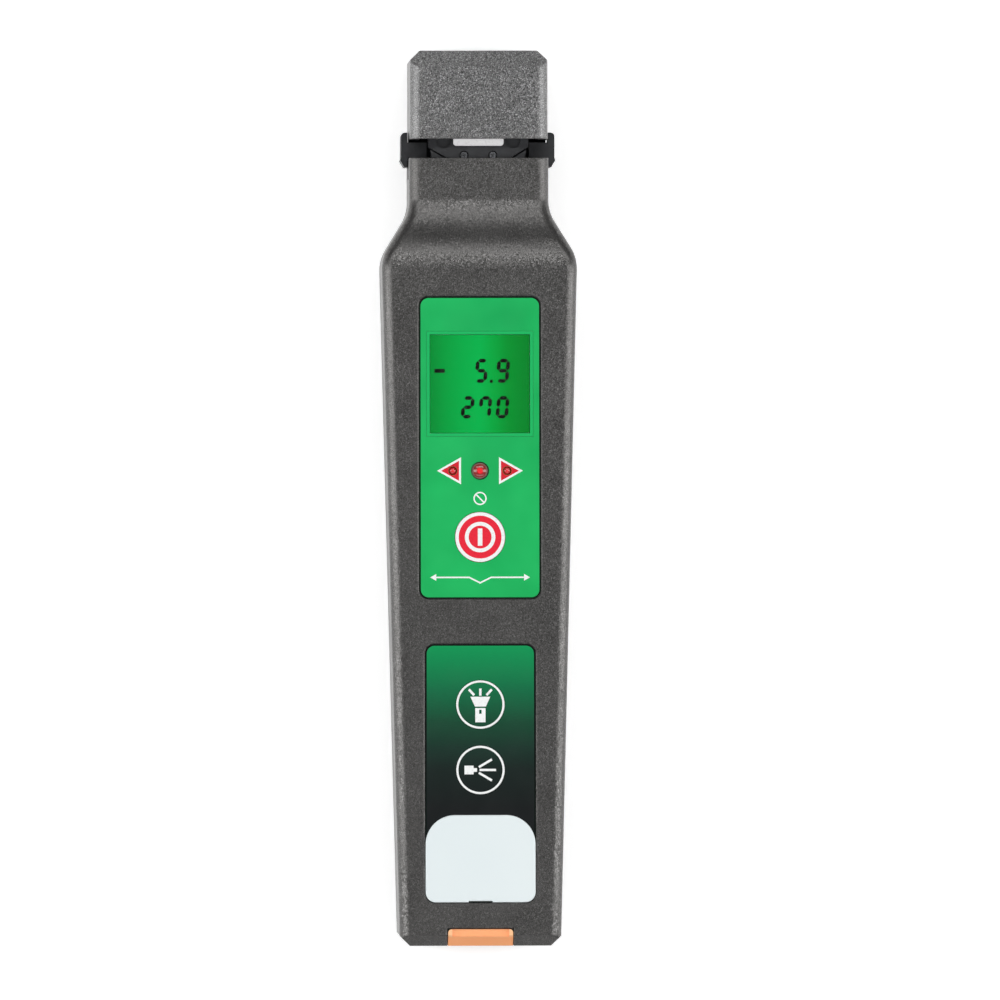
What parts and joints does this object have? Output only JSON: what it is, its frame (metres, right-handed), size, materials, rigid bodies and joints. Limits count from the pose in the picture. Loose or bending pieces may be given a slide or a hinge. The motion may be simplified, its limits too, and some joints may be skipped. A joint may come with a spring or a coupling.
{
  "type": "fibre optic identifier",
  "caption": "Handheld fibre optic identifier with a clamping fibre gate in its head, a backlit display, press keys, a capped ferrule port and a battery bay.",
  "frame": {"origin": "on the back face it rests on, under the middle of the length and width", "axes": "+Z out of the front face, +Y towards the head with the fibre gate, +X to the right as the display is read"},
  "size_m": [0.0428, 0.196, 0.0312],
  "materials": {
    "case_paint": "metallic grey paint with a fine sparkle",
    "battery_door_plastic": "dark grey moulded plastic",
    "display_film": "bright green printed film",
    "key_film": "printed film, green fading to black",
    "name_plate_white": "blank white plate",
    "clear_lens": "clear acrylic window",
    "lcd_panel": "green backlit display",
    "power_key_red": "red key with white rings",
    "small_key_green": "printed key",
    "lamp_red": "red lamp epoxy",
    "gate_black": "black moulded plastic",
    "window_white": "white diffusing window",
    "lamp_board": "small lamp board",
    "sensor_can": "plated can with a small window",
    "screw_steel": "plated steel screw",
    "rod_steel": "ground steel",
    "spring_steel": "spring steel",
    "sleeve_metal": "turned sleeve",
    "laser_metal": "turned housing",
    "cover_orange": "soft orange moulding",
    "board_green": "circuit board",
    "switch_plastic": "moulded switch",
    "cell_wrap": "plain wrapped cell",
    "contact_metal": "plated spring contact"
  },
  "bodies": {
    "housing": {"front_shell": "case_paint", "rear_shell": "case_paint", "head_cap": "case_paint", "display_overlay": "display_film", "key_overlay": "key_film", "name_plate": "name_plate_white", "display_lens": "clear_lens", "lcd_module": "lcd_panel", "led_left": "lamp_red", "led_centre": "lamp_red", "led_right": "lamp_red", "anvil_block": "gate_black", "anvil_plate": "gate_black", "gate_window": "window_white", "gate_lamp": "lamp_board", "anvil_screws": "screw_steel", "housing_screws": "screw_steel", "head_screws": "screw_steel", "board_screws": "screw_steel", "cover_pin": "screw_steel", "guide_rods": "rod_steel", "return_spring_left": "spring_steel", "return_spring_right": "spring_steel", "port_sleeve": "sleeve_metal", "laser_module": "laser_metal", "main_board": "board_green", "power_switch": "switch_plastic", "torch_switch": "switch_plastic", "locator_switch": "switch_plastic", "buzzer": "switch_plastic", "battery_left": "cell_wrap", "battery_right": "cell_wrap", "battery_contacts": "contact_metal", "battery_bridge": "contact_metal"},
    "carriage": {"carriage": "gate_black", "v_jaw": "gate_black", "detector_left": "sensor_can", "detector_right": "sensor_can"},
    "power_key": {"power_key": "power_key_red"},
    "torch_key": {"torch_key": "small_key_green"},
    "locator_key": {"locator_key": "small_key_green"},
    "port_cover": {"port_cover": "cover_orange"},
    "battery_door": {"battery_door": "battery_door_plastic"}
  },
  "joints": [
    {"name": "carriage_slide", "type": "slide", "parent": "housing", "child": "carriage", "axis": [0, -1, 0], "range_m": [0, 0.0035], "stiffness_N_per_m": 400, "springref_m": -0.004, "deforming": ["return_spring_left", "return_spring_right"]},
    {"name": "power_key_press", "type": "slide", "parent": "housing", "child": "power_key", "axis": [0, 0, -1], "range_m": [0, 0.0004], "stiffness_N_per_m": 300, "springref_m": -0.0005},
    {"name": "torch_key_press", "type": "slide", "parent": "housing", "child": "torch_key", "axis": [0, 0, -1], "range_m": [0, 0.0004], "stiffness_N_per_m": 300, "springref_m": -0.0005},
    {"name": "locator_key_press", "type": "slide", "parent": "housing", "child": "locator_key", "axis": [0, 0, -1], "range_m": [0, 0.0004], "stiffness_N_per_m": 300, "springref_m": -0.0005},
    {"name": "cover_hinge", "type": "hinge", "parent": "housing", "child": "port_cover", "pos_m": [0, -0.096, 0.0072], "axis": [1, 0, 0], "range_deg": [0, 90]},
    {"name": "door_slide", "type": "slide", "parent": "housing", "child": "battery_door", "axis": [0, -1, 0], "range_m": [0, 0.07]}
  ]
}
